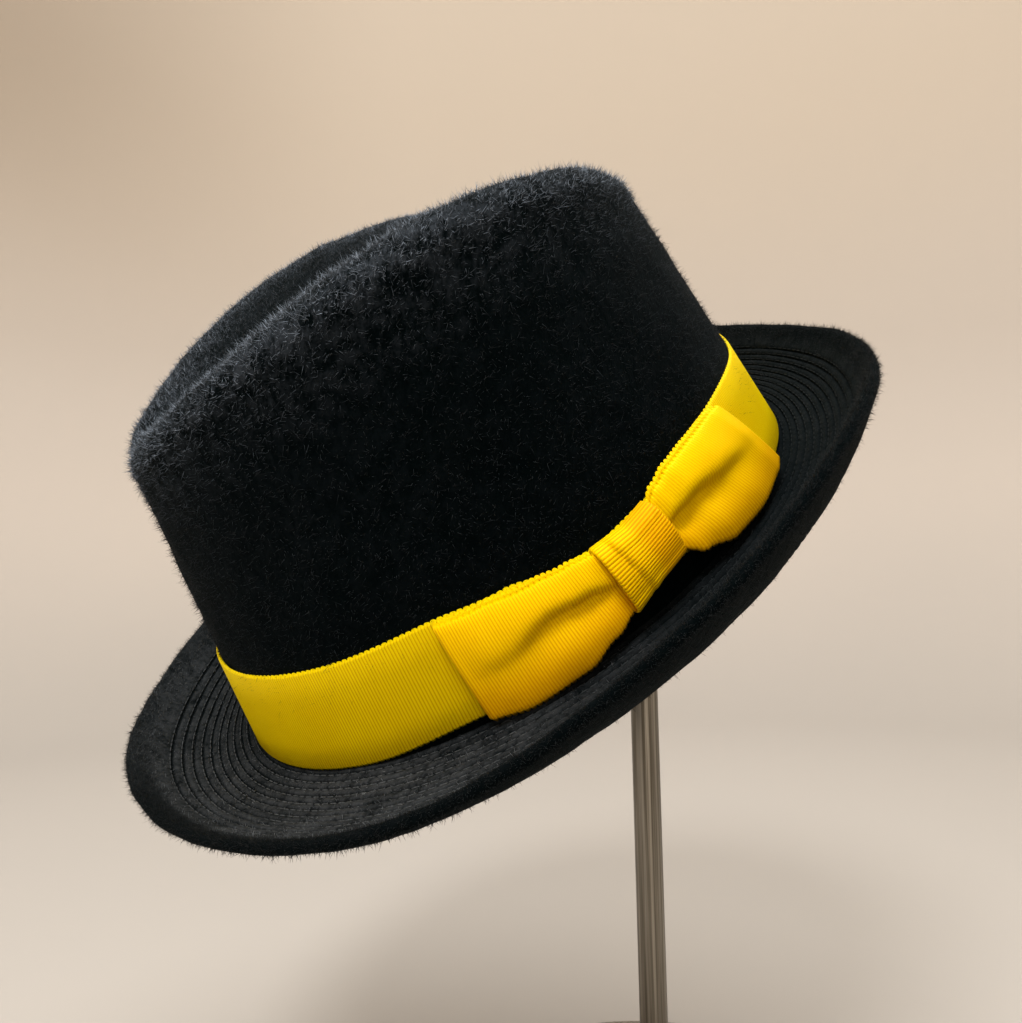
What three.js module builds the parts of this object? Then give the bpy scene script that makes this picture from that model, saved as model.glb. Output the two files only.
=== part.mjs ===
import * as THREE from 'three'
import { mergeVertices } from 'three/addons/utils/BufferGeometryUtils.js'

// A stitched wool hat with a creased crown, a rolled brim and a ribbon with a flat bow,
// held tilted on a plain metal stand. Millimetres, +Z up.
// The origin is the middle of the underside of the stand's foot.
// The hat has a frame of its own: x runs to its high end, y away from the bow, z up the crown.

// Crown, outside sizes
const seamLength = 203.7
const seamWidth = 172.9
const topLength = 162.8
const topWidth = 155.6
const topShift = 3.2
const crownHeight = 115.4
const ridgeArch = 14
const edgeRoll = 7.8
const creaseDepth = 21
const creaseEndDepth = 5
const creaseEndHalfWidth = 17
const creaseSharpness = 1.4
const feltWall = 2.6

// Brim, from the crown's seam to its edge
const brimReach = 40
const brimRise = 25
const brimWall = 3.4
const brimCurl = 3
const seamGap = 0.3

// Ribbon round the crown
const ribbonWidth = 30
const ribbonLift = 1.4
const ribbonThickness = 1
const ribbonGap = 0.3

// Flat bow, placed by the length of ribbon from the low end to the knot's middle
const bowFromLowEnd = 157.3
const knotWidth = 19.3
const knotHeight = 18.2
const knotMiddle = 16.9
const knotStand = 5.9
const knotCorner = 2.2
const knotLean = 2.2
const knotRise = 2.7
const knotPinch = 0.6
const lowLoopLength = 44
const lowLoopSlant = 1.1
const highLoopLength = 45.4
const highLoopSlant = 10.5
const loopPuff = 4.4
const loopFold = 1.5
const loopGap = 0.5
const loopTuck = 4
const pleatDepth = 3
const pleatSpread = 0.19
const bowThickness = 0.9
const bowGap = 0.4

// Stand
const footRadius = 75
const footThickness = 6
const footEdge = 1.5
const collarRadius = 9
const collarHeight = 8
const socketFloor = 2
const postRadius = 4.8
const postGap = 0.3
const bendAboveSeam = 20
const bendPull = 45
const restRadius = 22
const restThickness = 3
const restGap = 0.3

// How the hat sits over the stand
const seamHeight = 200
const seamOffset = 47.4
const tiltUp = THREE.MathUtils.degToRad(34.9)
const leanForward = THREE.MathUtils.degToRad(20.3)

// How fine the facets are
const turnSteps = 64
const wallSteps = 5
const rollSteps = 4
const topSteps = 7
const brimSteps = 6
const loopSteps = 8
const loopColumns = 6
const foldSteps = 5
const knotSteps = 24
const knotColumns = 4
const knotMargin = 2e-3
const arcSteps = 720
const plateSteps = 40
const postSteps = 40
const postSides = 8
const mergeWithin = 1e-4

// Brim stations from the high end, angle 0, to the low end, angle 180, alike on both sides.
// reach and rise are shares of brimReach and brimRise.
const brimStations = [
  { angle: 0, reach: 0.78, rise: 0.43 },
  { angle: 30, reach: 0.81, rise: 0.69 },
  { angle: 60, reach: 0.9, rise: 1.03 },
  { angle: 90, reach: 1, rise: 0.91 },
  { angle: 120, reach: 1.01, rise: 0.63 },
  { angle: 150, reach: 0.94, rise: 0.65 },
  { angle: 180, reach: 0.88, rise: 0.75 },
]

// The ribbon's edges near the bow, whose knot gathers it, with low and high as shares of
// ribbonWidth. along is the length from the knot's middle toward the high end, as a share of
// lowLoopLength or highLoopLength.
const ribbonStations = [
  { along: -2.1, low: -0.02, high: 1 },
  { along: -1.3, low: 0.05, high: 1.03 },
  { along: -0.8, low: 0.05, high: 0.97 },
  { along: -0.45, low: 0.09, high: 0.86 },
  { along: -0.2, low: 0.12, high: 0.83 },
  { along: 0.2, low: 0.15, high: 0.87 },
  { along: 0.5, low: 0.09, high: 0.98 },
  { along: 0.8, low: 0.04, high: 1.04 },
  { along: 1.3, low: 0.02, high: 1.05 },
  { along: 2.1, low: -0.02, high: 1 },
]

// Bow loop stations from the knot, along 0, to the fold, along 1.
// low and high are how far the edges have opened from the knot's inside, at 0, to the ribbon's
// edges, at 1; puff and pleat are shares of loopPuff and pleatDepth; place is the pleat's
// share of the way from the lower edge to the upper one.
const lowLoopStations = [
  { along: 0, low: 0, high: 0, puff: 0.3, pleat: 0.3, place: 0.42 },
  { along: 0.18, low: 0.69, high: 0.3, puff: 0.7, pleat: 0.9, place: 0.53 },
  { along: 0.4, low: 0.9, high: 0.6, puff: 1, pleat: 0.85, place: 0.6 },
  { along: 0.74, low: 0.94, high: 0.95, puff: 0.8, pleat: 0.25, place: 0.45 },
  { along: 1, low: 0.75, high: 1.1, puff: 0.35, pleat: 0, place: 0.4 },
]
const highLoopStations = [
  { along: 0, low: 0, high: 0, puff: 0.3, pleat: 0.3, place: 0.45 },
  { along: 0.12, low: 0.46, high: 0.7, puff: 0.6, pleat: 1, place: 0.52 },
  { along: 0.3, low: 0.76, high: 1.2, puff: 0.95, pleat: 1, place: 0.57 },
  { along: 0.55, low: 0.82, high: 1.4, puff: 1, pleat: 0.55, place: 0.52 },
  { along: 0.85, low: 0.77, high: 1.45, puff: 0.7, pleat: 0.1, place: 0.45 },
  { along: 1, low: 0.72, high: 1.25, puff: 0.35, pleat: 0, place: 0.4 },
]

const lerp = THREE.MathUtils.lerp

function rowsBetween(low, high, steps) {
  return Array.from({ length: steps }, (_, step) => lerp(low, high, (step + 1) / steps))
}

// Drops faces that closed up where points were merged, and turns the body's faces outward
function tidyBody(geometry) {
  geometry.deleteAttribute('normal')
  geometry.deleteAttribute('uv')
  const body = mergeVertices(geometry, mergeWithin)
  const index = body.getIndex().array
  const place = body.getAttribute('position')
  const [p, q, r] = [new THREE.Vector3(), new THREE.Vector3(), new THREE.Vector3()]
  const faces = []
  let volume = 0
  for (let i = 0; i < index.length; i += 3) {
    const face = [index[i], index[i + 1], index[i + 2]]
    if (new Set(face).size === 3) {
      faces.push(face)
      p.fromBufferAttribute(place, face[0])
      q.fromBufferAttribute(place, face[1])
      r.fromBufferAttribute(place, face[2])
      volume += p.dot(q.cross(r))
    }
  }
  const outward = volume < 0 ? faces.map((face) => face.reverse()) : faces
  body.setIndex(outward.flat())
  body.computeVertexNormals()
  return body
}

// One closed body between two grids of points, rows by columns. The columns go right round,
// or the grid has two side edges. The last row may close to a point.
function bodyBetween(outer, inner, { goesRound = true, closesAtPole = false } = {}) {
  const rows = outer.length
  const columns = outer[0].length
  const positions = [...outer.flat(), ...inner.flat()].flatMap((point) => point.toArray())
  const faces = []
  const at = (layer, row, column) => (layer * rows + row) * columns + (column % columns)
  const quad = (p, q, r, s) => faces.push(p, q, r, p, r, s)
  for (let column = 0; column < (goesRound ? columns : columns - 1); column++) {
    const next = column + 1
    for (let row = 0; row < rows - 1; row++) {
      const above = row + 1
      quad(at(0, row, column), at(0, row, next), at(0, above, next), at(0, above, column))
      quad(at(1, row, next), at(1, row, column), at(1, above, column), at(1, above, next))
    }
    quad(at(1, 0, column), at(1, 0, next), at(0, 0, next), at(0, 0, column))
    if (!closesAtPole) {
      const last = rows - 1
      quad(at(0, last, column), at(0, last, next), at(1, last, next), at(1, last, column))
    }
  }
  if (!goesRound) {
    const last = columns - 1
    for (let row = 0; row < rows - 1; row++) {
      const above = row + 1
      quad(at(0, row, 0), at(0, above, 0), at(1, above, 0), at(1, row, 0))
      quad(at(1, row, last), at(1, above, last), at(0, above, last), at(0, row, last))
    }
  }
  const loose = new THREE.BufferGeometry()
  loose.setAttribute('position', new THREE.Float32BufferAttribute(positions, 3))
  loose.setIndex(faces)
  return tidyBody(loose)
}

// The rows of a surface that goes round the hat
function ringGrid(rows, surface) {
  const turns = Array.from({ length: turnSteps }, (_, step) => (step / turnSteps) * 2 * Math.PI)
  return rows.map((row) => turns.map((turn) => surface(row, turn)))
}

// Normal of a surface given as a function of two numbers
function normalOn(surface, row, column) {
  const nudge = 1e-3
  const alongColumn = surface(row, column + nudge).sub(surface(row, column - nudge))
  const alongRow = surface(row + nudge, column).sub(surface(row - nudge, column))
  return alongColumn.cross(alongRow).normalize()
}

// Half length, half width and shift of the crown's oval at a height above the seam
function ovalAt(height) {
  const share = height / crownHeight
  return {
    a: lerp(seamLength, topLength, share) / 2,
    b: lerp(seamWidth, topWidth, share) / 2,
    shift: topShift * share,
  }
}

// A point on the crown's wall, or set off from it
function wallPoint(turn, height, outset = 0) {
  const oval = ovalAt(height)
  return new THREE.Vector3(
    (oval.a + outset) * Math.cos(turn) + oval.shift,
    (oval.b + outset) * Math.sin(turn),
    height,
  )
}

// Height of the crown's top inside its rolled edge, for a place in the unit circle
function topHeight(x, y) {
  const roundness = Math.sqrt(Math.max(0, 1 - x * x))
  const creaseHalf = lerp(creaseEndHalfWidth / (topWidth / 2), 1, roundness)
  const depth = lerp(creaseEndDepth, creaseDepth, 1 - x * x)
  const across = Math.min(1, Math.abs(y) / creaseHalf)
  const valley = (1 - across ** creaseSharpness) ** 2
  return crownHeight - ridgeArch * x * x - depth * valley
}

// The crown's outer face: row 0 to 1 up the wall, to 2 round the rolled edge, to 3 at the middle
function crownSurface(row, turn) {
  const rollStart = topHeight(Math.cos(turn), Math.sin(turn)) - edgeRoll
  if (row <= 1) {
    return wallPoint(turn, rollStart * row)
  }
  if (row <= 2) {
    const roll = (row - 1) * Math.PI / 2
    const point = wallPoint(turn, rollStart, edgeRoll * (Math.cos(roll) - 1))
    point.z += edgeRoll * Math.sin(roll)
    return point
  }
  const share = 3 - row
  const edge = wallPoint(turn, rollStart, -edgeRoll)
  const height = topHeight(share * Math.cos(turn), share * Math.sin(turn))
  return new THREE.Vector3(lerp(topShift, edge.x, share), edge.y * share, height)
}

function makeCrown() {
  const wall = rowsBetween(0, 1, wallSteps)
  const roll = rowsBetween(1, 2, rollSteps)
  const top = rowsBetween(2, 3, topSteps).slice(0, -1)
  const rows = [0, ...wall, ...roll, ...top]
  const inside = (row, turn) => {
    const normal = normalOn(crownSurface, row, turn)
    return crownSurface(row, turn).addScaledVector(normal, -feltWall)
  }
  const outer = ringGrid(rows, crownSurface)
  const inner = ringGrid(rows, inside)
  const middle = crownSurface(3, 0)
  outer.push(outer[0].map(() => middle))
  inner.push(inner[0].map(() => middle.clone().setZ(middle.z - feltWall)))
  // The wall's foot goes straight down through the brim, to its underside
  const footOf = (row) => row.map((point) => point.clone().setZ(-brimWall))
  return bodyBetween([footOf(outer[0]), ...outer], [footOf(inner[0]), ...inner], { closesAtPole: true })
}

// A smooth curve through a column of a table whose rows are evenly spaced
function throughRows(table, key, place) {
  const last = table.length - 1
  const low = Math.min(Math.floor(place), last - 1)
  const share = place - low
  const value = (i) => table[i < 0 ? -i : i > last ? 2 * last - i : i][key]
  const [p, q, r, s] = [value(low - 1), value(low), value(low + 1), value(low + 2)]
  const bend = (2 * p - 5 * q + 4 * r - s) * share ** 2 + (3 * q - p - 3 * r + s) * share ** 3
  return q + 0.5 * ((r - p) * share + bend)
}

// The brim's upper face, from the crown at row 0 to the edge at row 1
function brimSurface(row, turn) {
  const fromHighEnd = THREE.MathUtils.radToDeg(Math.acos(Math.cos(turn)))
  const place = fromHighEnd / (brimStations[1].angle - brimStations[0].angle)
  const reach = brimReach * throughRows(brimStations, 'reach', place)
  const rise = brimRise * throughRows(brimStations, 'rise', place)
  const oval = ovalAt(0)
  const outward = new THREE.Vector2(Math.cos(turn) / oval.a, Math.sin(turn) / oval.b).normalize()
  const seam = wallPoint(turn, 0, seamGap)
  return new THREE.Vector3(
    seam.x + outward.x * reach * row,
    seam.y + outward.y * reach * row,
    rise * Math.max(row, 0) ** brimCurl,
  )
}

function makeBrim() {
  const rows = [0, ...rowsBetween(0, 1, brimSteps)]
  const upper = ringGrid(rows, brimSurface)
  const lower = ringGrid(rows, (row, turn) => {
    const normal = normalOn(brimSurface, row, turn)
    const down = row === 0 ? new THREE.Vector3(0, 0, -1) : normal.multiplyScalar(-Math.sign(normal.z))
    return brimSurface(row, turn).addScaledVector(down, brimWall)
  })
  // One more ring past the edge makes it blunt and round
  const last = rows.length - 1
  const edge = upper[last].map((point, step) => {
    const outward = point.clone().sub(upper[last - 1][step]).normalize()
    const middle = point.clone().add(lower[last][step]).multiplyScalar(0.5)
    return middle.addScaledVector(outward, brimWall / 2)
  })
  return bodyBetween([...lower, edge], [...upper, edge], { closesAtPole: true })
}

// A table's row at a place along it, eased between stations
function stationAt(stations, along) {
  const last = stations.length - 1
  const inside = THREE.MathUtils.clamp(along, stations[0].along, stations[last].along)
  const after = Math.max(1, stations.findIndex((station) => station.along >= inside))
  const [from, to] = [stations[after - 1], stations[after]]
  const share = THREE.MathUtils.smoothstep(inside, from.along, to.along)
  const values = Object.keys(from).map((key) => [key, lerp(from[key], to[key], share)])
  return Object.fromEntries(values)
}

// Lengths along the ribbon's face from the low end, past the bow, to the high end
const ribbonLengths = [0]
const turnOfStep = (step) => Math.PI * (1 + step / arcSteps)
const ribbonFace = (turn, height, stand) => {
  return wallPoint(turn, ribbonLift + height, ribbonGap + ribbonThickness + stand)
}
for (let step = 1; step <= arcSteps; step++) {
  const before = ribbonFace(turnOfStep(step - 1), ribbonWidth / 2, 0)
  const length = before.distanceTo(ribbonFace(turnOfStep(step), ribbonWidth / 2, 0))
  ribbonLengths.push(ribbonLengths[step - 1] + length)
}

// A point on the bow: a length along the ribbon, a height above its lower edge, a stand off its face
function bowPoint(length, height, stand) {
  const after = Math.max(1, ribbonLengths.findIndex((value) => value >= length))
  const [low, high] = [ribbonLengths[after - 1], ribbonLengths[after]]
  const step = after - 1 + (length - low) / (high - low)
  return ribbonFace(turnOfStep(step), height, stand)
}

// The ribbon keeps its full width away from the bow and on the far side
function ribbonEdges(turn) {
  const step = arcSteps * (turn / Math.PI - 1)
  const length = ribbonLengths[Math.round(THREE.MathUtils.clamp(step, 0, arcSteps))]
  const fromKnot = length - bowFromLowEnd
  return stationAt(ribbonStations, fromKnot / (fromKnot < 0 ? lowLoopLength : highLoopLength))
}

function makeRibbon() {
  const face = (outset) => (across, turn) => {
    const { low, high } = ribbonEdges(turn)
    return wallPoint(turn, ribbonLift + ribbonWidth * lerp(low, high, across), outset)
  }
  const rows = [0, 0.5, 1]
  return bodyBetween(ringGrid(rows, face(ribbonGap + ribbonThickness)), ringGrid(rows, face(ribbonGap)))
}

// The knot leans and climbs: its lower edge lies further along, its far end a little higher
const knotShift = (height) => knotLean * (knotMiddle - height) / knotHeight
const knotClimb = (along) => knotRise * along / knotWidth

// A wall of bow ribbon on both sides of a surface
function ribbonWall(surface, rows, columns) {
  const side = (offset) => rows.map((row) => columns.map((column) => {
    return surface(row, column).addScaledVector(normalOn(surface, row, column), offset)
  }))
  return bodyBetween(side(bowThickness / 2), side(-bowThickness / 2), { goesRound: false })
}

// The knot wraps over the bow: up from the ribbon, over the front and back down
function makeKnot() {
  const half = knotHeight / 2 - bowThickness / 2
  const foot = bowGap + bowThickness / 2
  const path = new THREE.Path()
  path.moveTo(-half, foot)
  path.lineTo(-half, knotStand - knotCorner)
  path.absarc(-half + knotCorner, knotStand - knotCorner, knotCorner, Math.PI, Math.PI / 2, true)
  path.lineTo(half - knotCorner, knotStand)
  path.absarc(half - knotCorner, knotStand - knotCorner, knotCorner, Math.PI / 2, 0, true)
  path.lineTo(half, foot)
  const surface = (row, column) => {
    const place = path.getPointAt(row)
    const height = knotMiddle + place.x
    const along = knotWidth * column
    const length = bowFromLowEnd + knotShift(height) + along
    return bowPoint(length, height + knotClimb(along), place.y)
  }
  const rows = [knotMargin, ...rowsBetween(knotMargin, 1 - knotMargin, knotSteps)]
  return ribbonWall(surface, rows, [-0.5, ...rowsBetween(-0.5, 0.5, knotColumns)])
}

// A flat loop of ribbon: out from the knot over the front, round its fold, and back behind.
// side is -1 toward the low end and 1 toward the high end.
function makeLoop(side, stations, loopLength, loopSlant) {
  const backStand = bowGap + bowThickness / 2
  const frontBase = backStand + bowThickness + loopGap
  const insideKnot = knotHeight / 2 - bowThickness - knotPinch
  const foldStart = 1 - loopFold / loopLength
  const tuck = -loopTuck / loopLength
  const frontStand = (along, across) => {
    const { puff, pleat, place } = stationAt(stations, along)
    const dip = Math.exp(-(((across - place) / pleatSpread) ** 2))
    return frontBase + loopPuff * puff - pleatDepth * pleat * dip
  }
  // row 0 to 1 is the front, to 2 the fold, to 3 the back
  const surface = (row, across) => {
    let along = lerp(tuck, foldStart, row)
    let stand = 0
    if (row <= 1) {
      stand = frontStand(along, across)
    } else if (row <= 2) {
      const bend = (row - 1) * Math.PI
      const top = frontStand(foldStart, across)
      along = foldStart + (1 - foldStart) * Math.sin(bend)
      stand = lerp(backStand, top, (1 + Math.cos(bend)) / 2)
    } else {
      along = lerp(foldStart, tuck, row - 2)
      stand = backStand
    }
    const { low, high } = stationAt(stations, along)
    const fromKnot = along * (loopLength + loopSlant * (0.5 - across))
    const gathered = knotMiddle + knotClimb(side * (knotWidth / 2 + Math.min(fromKnot, 0)))
    const lowEdge = lerp(gathered - insideKnot, 0, low)
    const highEdge = lerp(gathered + insideKnot, ribbonWidth, high)
    const height = lerp(lowEdge, highEdge, across)
    const reach = knotWidth / 2 + fromKnot
    return bowPoint(bowFromLowEnd + knotShift(height) + side * reach, height, stand)
  }
  // Front and back have their rows at the same places, one of them just at the knot's edge
  const knotEdge = tuck / (tuck - foldStart)
  const front = [0, knotEdge, ...rowsBetween(knotEdge, 1, loopSteps)]
  const fold = rowsBetween(1, 2, foldSteps).slice(0, -1)
  const back = front.map((row) => 3 - row).reverse()
  return ribbonWall(surface, [...front, ...fold, ...back], [0, ...rowsBetween(0, 1, loopColumns)])
}

// The hat's place over the stand
const hat = new THREE.Group()
hat.position.set(-seamOffset, 0, seamHeight)
hat.rotation.set(leanForward, -tiltUp, 0, 'YXZ')
hat.updateMatrix()
const ontoStand = (point) => point.clone().applyMatrix4(hat.matrix)

// The rest is a round plate square to the crown, just under the floor of the crease
const restTop = topHeight(0, 0) - feltWall - restGap

function makeRest() {
  const plate = new THREE.CylinderGeometry(restRadius, restRadius, restThickness, plateSteps)
  plate.rotateX(Math.PI / 2)
  plate.translate(topShift, 0, restTop - restThickness / 2)
  return tidyBody(plate)
}

function makeFoot() {
  const socketRadius = postRadius + postGap
  const collarTop = footThickness + collarHeight
  const profile = [
    [0, 0],
    [footRadius - footEdge, 0],
    [footRadius, footEdge],
    [footRadius, footThickness - footEdge],
    [footRadius - footEdge, footThickness],
    [collarRadius, footThickness],
    [collarRadius, collarTop],
    [socketRadius, collarTop],
    [socketRadius, socketFloor],
    [0, socketFloor],
  ]
  const foot = new THREE.LatheGeometry(profile.map(([x, y]) => new THREE.Vector2(x, y)), turnSteps)
  foot.rotateX(Math.PI / 2)
  return tidyBody(foot)
}

// The post goes straight up from its socket, then bends inside the crown to meet the rest squarely
function makePost() {
  const start = new THREE.Vector3(0, 0, socketFloor + postGap)
  const bend = new THREE.Vector3(0, 0, seamHeight + bendAboveSeam)
  const end = ontoStand(new THREE.Vector3(topShift, 0, restTop - restThickness - restGap))
  const beforeEnd = ontoStand(new THREE.Vector3(topShift, 0, restTop - restThickness - restGap - bendPull))
  const afterBend = bend.clone().setZ(bend.z + bendPull)
  const straight = new THREE.LineCurve3(start, bend)
  const neck = new THREE.CubicBezierCurve3(bend, afterBend, beforeEnd, end)
  const route = new THREE.CurvePath()
  route.add(straight)
  route.add(neck)
  const section = new THREE.Shape()
  section.absarc(0, 0, postRadius, 0, 2 * Math.PI)
  const options = {
    steps: postSteps, curveSegments: postSides, bevelEnabled: false, extrudePath: route,
  }
  return tidyBody(new THREE.ExtrudeGeometry(section, options))
}

function named(name, geometry, color, roughness, metalness = 0) {
  const material = new THREE.MeshStandardMaterial({ color, roughness, metalness })
  const mesh = new THREE.Mesh(geometry, material)
  mesh.name = name
  return mesh
}

const wool = 0x14191b
const yellow = 0xd9a400
const steel = 0x8f877a
hat.add(named('crown', makeCrown(), wool, 0.95))
hat.add(named('brim', makeBrim(), wool, 0.95))
hat.add(named('hat_ribbon', makeRibbon(), yellow, 0.6))
const lowLoop = makeLoop(-1, lowLoopStations, lowLoopLength, lowLoopSlant)
const highLoop = makeLoop(1, highLoopStations, highLoopLength, highLoopSlant)
hat.add(named('bow_loop_low', lowLoop, yellow, 0.6))
hat.add(named('bow_loop_high', highLoop, yellow, 0.6))
hat.add(named('bow_knot', makeKnot(), yellow, 0.6))
hat.add(named('stand_rest', makeRest(), steel, 0.35, 1))

const assembly = new THREE.Group()
assembly.add(hat)
assembly.add(named('stand_post', makePost(), steel, 0.35, 1))
assembly.add(named('stand_foot', makeFoot(), steel, 0.35, 1))

export default assembly
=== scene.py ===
import math
import bpy
import numpy as np
from mathutils import Matrix, Vector


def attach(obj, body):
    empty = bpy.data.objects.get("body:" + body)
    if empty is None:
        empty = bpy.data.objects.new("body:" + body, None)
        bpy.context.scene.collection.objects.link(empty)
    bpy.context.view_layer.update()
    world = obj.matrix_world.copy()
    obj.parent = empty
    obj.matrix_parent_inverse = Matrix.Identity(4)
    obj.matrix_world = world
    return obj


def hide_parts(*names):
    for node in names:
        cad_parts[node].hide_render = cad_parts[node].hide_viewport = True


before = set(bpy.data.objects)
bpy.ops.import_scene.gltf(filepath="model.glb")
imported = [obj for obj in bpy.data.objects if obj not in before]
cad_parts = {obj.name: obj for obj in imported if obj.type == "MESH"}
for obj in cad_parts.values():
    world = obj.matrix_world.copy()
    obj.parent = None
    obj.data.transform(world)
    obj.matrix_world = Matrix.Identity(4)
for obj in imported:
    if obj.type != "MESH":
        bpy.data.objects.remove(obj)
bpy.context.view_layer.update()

# Hat sizes are in millimetres in the hat's own frame: x toward its high end, y away from the
# bow, z up the crown. Turn 0 is the high end and goes round by the far side.
hatPlace = {
    "seamHeight": 200,
    "seamOffset": 47.4,
    "tiltUp": 34.9,
    "leanForward": 20.3,
}


def hatTurning():
    tilt = Matrix.Rotation(math.radians(-hatPlace["tiltUp"]), 3, "Y")
    lean = Matrix.Rotation(math.radians(hatPlace["leanForward"]), 3, "X")
    return np.array(tilt @ lean)


hatAxes = hatTurning()


# From the hat's frame in millimetres to the stand's frame in metres
def ontoStand(points):
    seat = np.array([-hatPlace["seamOffset"], 0, hatPlace["seamHeight"]])
    return (points @ hatAxes.T + seat) / 1000


def lerp(low, high, share):
    return low + (high - low) * share


def eased(share):
    inside = np.clip(share, 0, 1)
    return inside * inside * (3 - 2 * inside)


def joined(x, y, z):
    return np.stack(np.broadcast_arrays(x, y, z), -1).astype(float)


def unit(vectors):
    return vectors / np.maximum(np.linalg.norm(vectors, axis=-1, keepdims=True), 1e-12)


# A table's columns at a place along it, eased from station to station
def stationAt(stations, along):
    marks = np.array(stations["along"], float)
    inside = np.clip(along, marks[0], marks[-1])
    after = np.clip(np.searchsorted(marks, inside), 1, len(marks) - 1)
    share = eased((inside - marks[after - 1]) / (marks[after] - marks[after - 1]))
    found = {}
    for key, column in stations.items():
        values = np.array(column, float)
        found[key] = lerp(values[after - 1], values[after], share)
    return found


# A smooth curve through evenly spaced values, mirrored past both ends
def throughValues(column, place):
    values = np.array(column, float)
    last = len(values) - 1
    low = np.clip(np.floor(place), 0, last - 1).astype(int)
    share = place - low
    p, q, r, s = (values[last - np.abs(last - np.abs(low + step))] for step in (-1, 0, 1, 2))
    bend = (2 * p - 5 * q + 4 * r - s) * share**2 + (3 * q - p - 3 * r + s) * share**3
    return q + 0.5 * ((r - p) * share + bend)


# The two directions and the normal of a surface given as a function of two numbers
def directionsOn(surface, first, second):
    nudge = 1e-3
    alongFirst = surface(first + nudge, second) - surface(first - nudge, second)
    alongSecond = surface(first, second + nudge) - surface(first, second - nudge)
    normal = unit(np.cross(alongSecond, alongFirst))
    return alongFirst / (2 * nudge), alongSecond / (2 * nudge), normal


def deselectAll():
    for thing in list(bpy.context.selected_objects):
        thing.select_set(False)


def takeUp(piece):
    deselectAll()
    piece.select_set(True)
    bpy.context.view_layer.objects.active = piece


def countTriangles(piece):
    return sum(len(face.vertices) - 2 for face in piece.data.polygons)


addedTriangles = []


# Every finished piece rides on the stand's one body and takes its finish from a slot
def finishPiece(piece, material, standsFor=()):
    piece.data.materials.clear()
    piece.data.materials.append(material)
    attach(piece, "root")
    if standsFor:
        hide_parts(*standsFor)
    addedTriangles.append(countTriangles(piece))
    print("made", piece.name, addedTriangles[-1], "triangles")


# Points within two thousandths of a millimetre become one
def mergeAndTurnOut(piece):
    takeUp(piece)
    bpy.ops.object.mode_set(mode="EDIT")
    bpy.ops.mesh.select_all(action="SELECT")
    bpy.ops.mesh.remove_doubles(threshold=2e-6)
    bpy.ops.mesh.normals_make_consistent(inside=False)
    bpy.ops.object.mode_set(mode="OBJECT")
    bpy.ops.object.shade_smooth()


# A grid laid over a surface: its squares are moved to shape(u, v), which gives points in the
# hat's frame and named values for the material, and its seams are merged
def shapedGrid(name, alongSteps, aroundSteps, shape):
    deselectAll()
    bpy.ops.mesh.primitive_grid_add(x_subdivisions=alongSteps, y_subdivisions=aroundSteps, size=2)
    piece = bpy.context.object
    piece.name = name
    piece.data.name = name
    flat = np.zeros(len(piece.data.vertices) * 3)
    piece.data.vertices.foreach_get("co", flat)
    spots = flat.reshape(-1, 3)
    points, values = shape((spots[:, 0] + 1) / 2, (spots[:, 1] + 1) / 2)
    piece.data.vertices.foreach_set("co", ontoStand(points).ravel())
    for key, column in values.items():
        layer = piece.data.attributes.new(key, "FLOAT", "POINT")
        layer.data.foreach_set("value", np.asarray(column, np.float32))
    piece.data.update()
    mergeAndTurnOut(piece)
    return piece


# Soft unevenness of hand-shaped cloth
def unevenly(piece, size, strength):
    lumps = bpy.data.textures.new(piece.name + "Lumps", "CLOUDS")
    lumps.noise_scale = size
    lumps.noise_depth = 2
    takeUp(piece)
    uneven = piece.modifiers.new("uneven", "DISPLACE")
    uneven.texture = lumps
    uneven.texture_coords = "LOCAL"
    uneven.strength = strength
    uneven.mid_level = 0.5
    bpy.ops.object.modifier_apply(modifier=uneven.name)


# One socket of a material's nodes, so that sums on it read as Python
class Value:
    def __init__(self, recipe, socket):
        self.recipe = recipe
        self.socket = socket

    def work(self, operation, first, second):
        return self.recipe.node("ShaderNodeMath", {"operation": operation}, {0: first, 1: second})

    def __add__(self, other):
        return self.work("ADD", self, other)

    def __radd__(self, other):
        return self.work("ADD", other, self)

    def __sub__(self, other):
        return self.work("SUBTRACT", self, other)

    def __rsub__(self, other):
        return self.work("SUBTRACT", other, self)

    def __mul__(self, other):
        return self.work("MULTIPLY", self, other)

    def __rmul__(self, other):
        return self.work("MULTIPLY", other, self)


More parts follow.
